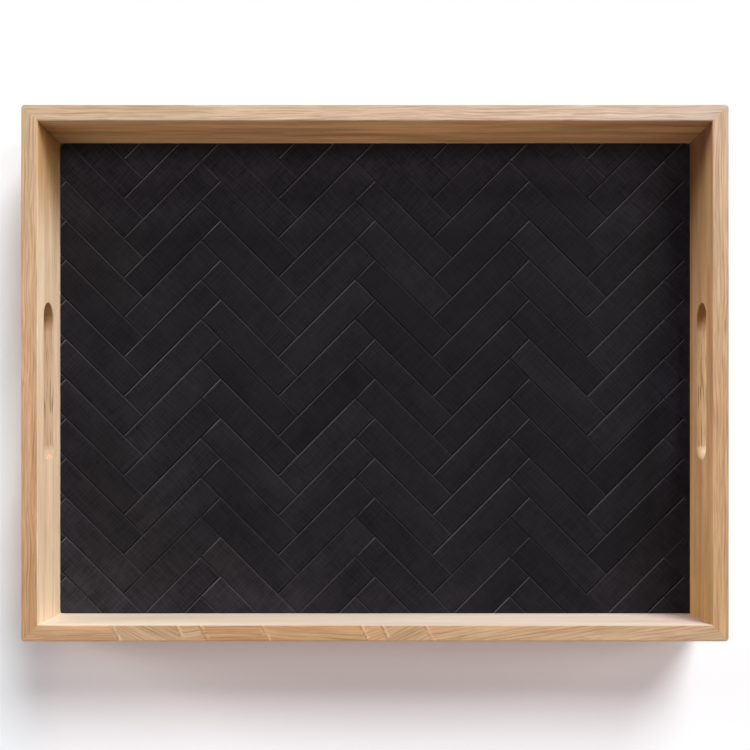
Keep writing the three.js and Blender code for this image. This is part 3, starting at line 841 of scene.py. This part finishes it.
def white_ground():
    """White ground that keeps the tray's shadow: a flat grid, matt white, with a little warm glow added for
    rays that come from the camera, a gloss or a glass, less of it to the left of the tray. The glow lifts the
    backdrop towards white and is also painted warm light, bounced from the oak, in the tray's shadow."""
    mesh = bpy.data.meshes.new("ground")
    edge = np.linspace(-GROUND_HALF, GROUND_HALF, 9)
    x, y = np.meshgrid(edge, edge, indexing="ij")
    points = np.stack([x, y, np.zeros_like(x)], axis=2).reshape(-1, 3)
    number = np.arange(x.size).reshape(x.shape)
    quads = np.stack([number[:-1, :-1], number[1:, :-1], number[1:, 1:], number[:-1, 1:]], axis=2)
    mesh.from_pydata(points.tolist(), [], quads.reshape(-1, 4).tolist())
    material = bpy.data.materials.new("white ground")
    material.use_nodes = True
    tree = material.node_tree
    tree.nodes.clear()
    matt = add(tree, "ShaderNodeBsdfDiffuse", {"Color": (0.92, 0.95, 0.98, 1)})
    sideways = parts_of(tree, own_place(tree))[0]
    left = -TRAY_LENGTH / 2
    # painted warm bounced light in the tray's shadow, less of it to the left
    painted_bounce = ranged(tree, sideways, left - 26 * MM, left + RAIL_DEPTH, 0.03, 0.10)
    lift = sums(tree, "MULTIPLY", seen_rays(tree), painted_bounce)
    painted_warm_glow = add(tree, "ShaderNodeEmission", {"Color": (1, 0.40, 0.36, 1), "Strength": lift})
    both = add(tree, "ShaderNodeAddShader", {0: matt.outputs[0], 1: painted_warm_glow.outputs[0]})
    add(tree, "ShaderNodeOutputMaterial", {"Surface": both.outputs[0]})
    mesh.materials.append(material)
    ground = bpy.data.objects.new("ground", mesh)
    bpy.context.scene.collection.objects.link(ground)


def lamp(name, towards, share, spread):
    """A far lamp in a direction. Its share is how bright it makes a white surface that faces it."""
    data = bpy.data.lights.new(name, "SUN")
    data.energy = share * math.pi
    data.angle = math.radians(spread)
    made = bpy.data.objects.new(name, data)
    made.rotation_euler = Vector(towards).to_track_quat("Z", "Y").to_euler()
    bpy.context.scene.collection.objects.link(made)


def studio(horizon, overhead):
    """A white sky, at one strength round the horizon that eases to another overhead, seen as plain white."""
    world = bpy.data.worlds.new("white sky")
    world.use_nodes = True
    tree = world.node_tree
    back = tree.nodes["Background"]
    back.inputs["Color"].default_value = (1, 1, 1, 1)
    direction = add(tree, "ShaderNodeTexCoord").outputs["Generated"]
    height = parts_of(tree, direction)[2]
    sky = add(tree, "ShaderNodeMapRange", {0: height, 1: 0.0, 2: 0.8, 3: horizon, 4: overhead},
              interpolation_type="SMOOTHSTEP").outputs[0]
    plain = add(tree, "ShaderNodeMix", {0: seen_rays(tree), 2: sky, 3: 1.0}).outputs[0]
    tree.links.new(plain, back.inputs["Strength"])
    bpy.context.scene.world = world
    bpy.context.scene.view_settings.view_transform = "Standard"


def camera_above():
    """Camera that looks straight down, a little in front of the tray's middle, with the picture moved back
    up."""
    data = bpy.data.cameras.new("camera above")
    data.lens = 50
    data.sensor_width = 36
    data.shift_y = PICTURE_SHIFT
    made = bpy.data.objects.new("camera above", data)
    made.location = (0, -CAMERA_FORWARD, CAMERA_HEIGHT)
    bpy.context.scene.collection.objects.link(made)
    bpy.context.scene.camera = made


# The tray

camera_above()
studio(horizon=0.14, overhead=0.0)
lamp("window light", (0.335, 0.735, 0.590), share=1.0, spread=31)
lamp("right fill", (0.945, 0.243, 0.220), share=0.33, spread=25)
lamp("left fill", (-0.910, 0.360, 0.205), share=0.52, spread=22)
lamp("overhead fill", (0.441, 0.161, 0.883), share=0.22, spread=30)
lamp("front fill", (-0.10, -0.95, 0.29), share=0.25, spread=32)
white_ground()

# Colours of the wood on each rail, by their place along it in the rail's own direction. The inner runs and
# the slot colours are also painted light and shade: the pale lit inner faces of the front rail and the left
# end rail, the back rail's shadow at the back of the left end rail's inner face, the shaded inner faces of
# the back rail and the right end rail, and the dark back ends and lit front end of the slots.
BACK_WOOD_AND_PAINTED_LIGHT = {
    "inner figure": (0.9, 0.25, 2.2),
    "rim": {0: (0.562, 0.384, 0.255), 0.5: (0.605, 0.432, 0.303), 1: (0.600, 0.447, 0.343)},
    # painted shade: the inner face in shade, darker towards both corners
    "inner": {0: (0.490, 0.273, 0.124), 0.5: (0.780, 0.420, 0.196), 0.83: (0.625, 0.325, 0.150),
              1: (0.410, 0.205, 0.093)},
    "outer": {0: (0.560, 0.360, 0.210)},
}
FRONT_WOOD_AND_PAINTED_LIGHT = {
    "inner figure": (0.25, 0.05, 0.4),
    "rim": {0: (0.515, 0.332, 0.200), 0.5: (0.487, 0.291, 0.152), 1: (0.512, 0.327, 0.190)},
    # painted light: paler than its rim, where the light falls on it
    "inner": {0: (0.810, 0.660, 0.576), 0.5: (0.750, 0.625, 0.512), 1: (0.800, 0.675, 0.545)},
    "outer": {0: (0.540, 0.340, 0.190)},
}
LEFT_WOOD_AND_PAINTED_LIGHT = {
    "inner figure": (0.6, 0.1, 1.0),
    "rim": {0: (0.455, 0.254, 0.126), 0.5: (0.530, 0.325, 0.185), 1: (0.588, 0.408, 0.262)},
    # painted light and shade: pale where the light falls, with the back rail's shadow at the back end
    "inner": {0: (0.780, 0.605, 0.420), 0.5: (0.890, 0.665, 0.455), 0.75: (0.900, 0.670, 0.462),
              0.875: (0.640, 0.395, 0.195), 1: (0.560, 0.270, 0.066)},
    "outer": {0: (0.540, 0.340, 0.190)},
    # painted shade at the slot's back end
    "slot": [(0.550, 0.375, 0.240), (0.575, 0.392, 0.256), (0.305, 0.163, 0.062)],
    "slot shade": (-2.5, 1, -3, 0),
}
RIGHT_WOOD_AND_PAINTED_LIGHT = {
    "inner figure": (0.8, 0.15, 1.3),
    "rim": {0: (0.620, 0.440, 0.304), 0.5: (0.580, 0.366, 0.205), 1: (0.540, 0.312, 0.156)},
    # painted shade: darkest at the back end, darker again at the front corner
    "inner": {0: (0.420, 0.210, 0.128), 0.125: (0.550, 0.310, 0.140), 0.4: (0.680, 0.395, 0.198),
              0.75: (0.700, 0.400, 0.198), 1: (0.500, 0.280, 0.105)},
    "outer": {0: (0.540, 0.340, 0.190)},
    # painted shade at the slot's back end, painted light at its front end
    "slot": [(0.285, 0.119, 0.022), (0.512, 0.320, 0.158), (0.580, 0.411, 0.253)],
    "slot shade": (4.5, 8, -1, 2.5),
}

# The front rail is glued up from lengths: where each starts along the board, its tint and its grain's slant
FRONT_SEED = 2
FRONT_START = BOARD_JUMP[0] * FRONT_SEED - TRAY_LENGTH / 2
FRONT_LENGTHS = {
    "start": FRONT_START,
    "end": FRONT_START + TRAY_LENGTH,
    "slant shift": JOINT_SLANT * (BOARD_JUMP[1] * FRONT_SEED + RAIL_DEPTH / 2) + JOINT_WAVE,
    "lengths": [
        (FRONT_START, (1.00, 1.02, 1.04), -0.15),
        (FRONT_START + 199 * MM, (1.02, 1.05, 1.12), -0.5),
        (FRONT_START + 228 * MM, (1.05, 1.06, 1.08), -0.3),
        (FRONT_START + 242 * MM, (0.98, 0.94, 0.88), 0.05),
        (FRONT_START + 308 * MM, (0.97, 0.93, 0.87), 0.0),
        (FRONT_START + 349 * MM, (1.04, 1.07, 1.12), -0.25),
        (FRONT_START + 365 * MM, (1.00, 1.03, 1.08), 0.5),
        (FRONT_START + 408 * MM, (1.01, 0.97, 0.94), 0.0),
    ],
}

grain = wood_grain()
oak = oiled_oak(grain, "oiled oak")
jointed_oak = oiled_oak(grain, "oiled oak, glued lengths", FRONT_LENGTHS)
black = black_stained(grain)
felt = pressed_felt()
# the panel's faces that look up are near black
plywood = plain_wood(grain, "birch plywood", (0.72, 0.56, 0.38, 1), (0.58, 0.41, 0.25, 1), lines=110.0,
                     stretch=16.0, turn=(0, 0, 0), up_colour=(0.012, 0.011, 0.012, 1))
beech = plain_wood(grain, "bare beech", (0.66, 0.46, 0.30, 1), (0.55, 0.36, 0.22, 1), lines=600.0,
                   stretch=12.0, turn=(0, math.pi / 2, 0))

side_half, end_half = TRAY_LENGTH / 2, TRAY_WIDTH / 2
side_face, end_face = end_half - RAIL_DEPTH, side_half - RAIL_DEPTH
rail_piece("back_rail", side_half, side_face, (1, 0), (0, 1), None, BACK_WOOD_AND_PAINTED_LIGHT, 1, oak)
rail_piece("front_rail", side_half, side_face, (-1, 0), (0, -1), None, FRONT_WOOD_AND_PAINTED_LIGHT, FRONT_SEED, jointed_oak)
rail_piece("left_end_rail", end_half, end_face, (0, 1), (-1, 0), -SLOT_FORWARD, LEFT_WOOD_AND_PAINTED_LIGHT, 3, oak)
rail_piece("right_end_rail", end_half, end_face, (0, -1), (1, 0), SLOT_FORWARD, RIGHT_WOOD_AND_PAINTED_LIGHT, 4, oak)

chance = np.random.default_rng(7)
for column in range(-4, 5):
    node = f"herringbone_left_{-column}" if column < 0 else f"herringbone_right_{column + 1}"
    herringbone_piece(node, [-5, -4] if column == -4 else [column], black, chance)

for depth in ("front", "back"):
    for side in ("left", "right"):
        felt_pad(f"felt_pad_{depth}_{side}", felt)

for name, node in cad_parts.items():
    if name == "base_panel":
        node.data.materials[0] = plywood
    if name.startswith("corner_tongue"):
        node.data.materials[0] = beech
